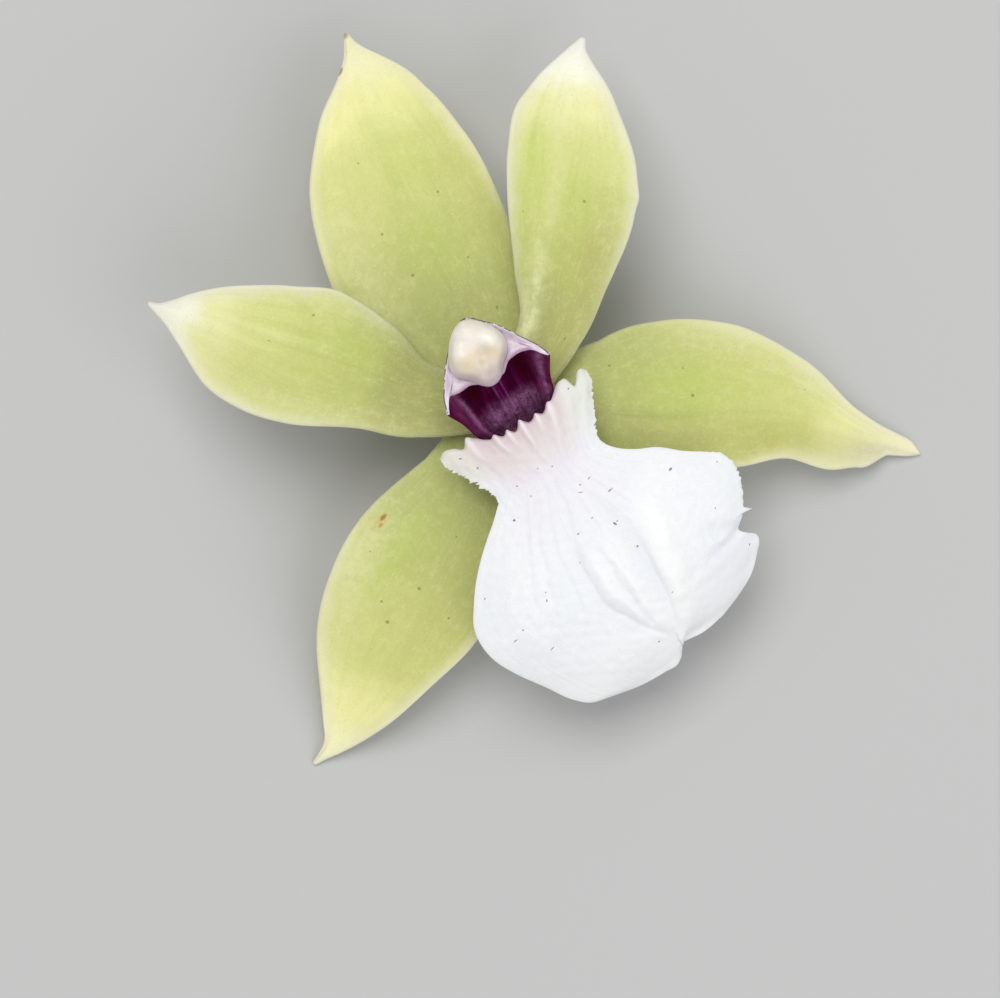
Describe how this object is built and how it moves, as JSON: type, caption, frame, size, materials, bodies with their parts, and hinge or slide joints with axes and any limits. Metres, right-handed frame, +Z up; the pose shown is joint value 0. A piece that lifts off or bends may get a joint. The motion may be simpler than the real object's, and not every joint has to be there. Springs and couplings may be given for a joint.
{
  "type": "orchid flower",
  "caption": "Picked zygopetalum orchid flower lying face up, with spread pointed sepals and petals, a broad fan-shaped lip, a hooded column and a bent cut stalk.",
  "frame": {"origin": "on the resting surface, under the middle of the flower's outline", "axes": "+Z up, out of the flower's face; +Y towards the dorsal sepal and the stalk's cut end; +X to the right of someone looking at the flower's face with the dorsal sepal up"},
  "size_m": [0.0635, 0.0651, 0.0249],
  "materials": {
    "stalk": "satin",
    "sepal": "satin",
    "petal": "satin",
    "lip": "satin",
    "column": "satin",
    "anther_cap": "satin",
    "pollinarium": "gloss"
  },
  "bodies": {
    "root": {"ovary_pedicel": "stalk", "dorsal_sepal": "sepal", "lateral_sepal_left": "sepal", "lateral_sepal_right": "sepal", "petal_left": "petal", "petal_right": "petal", "lip": "lip", "column": "column", "anther_cap": "anther_cap", "pollinarium": "pollinarium"}
  },
  "joints": []
}
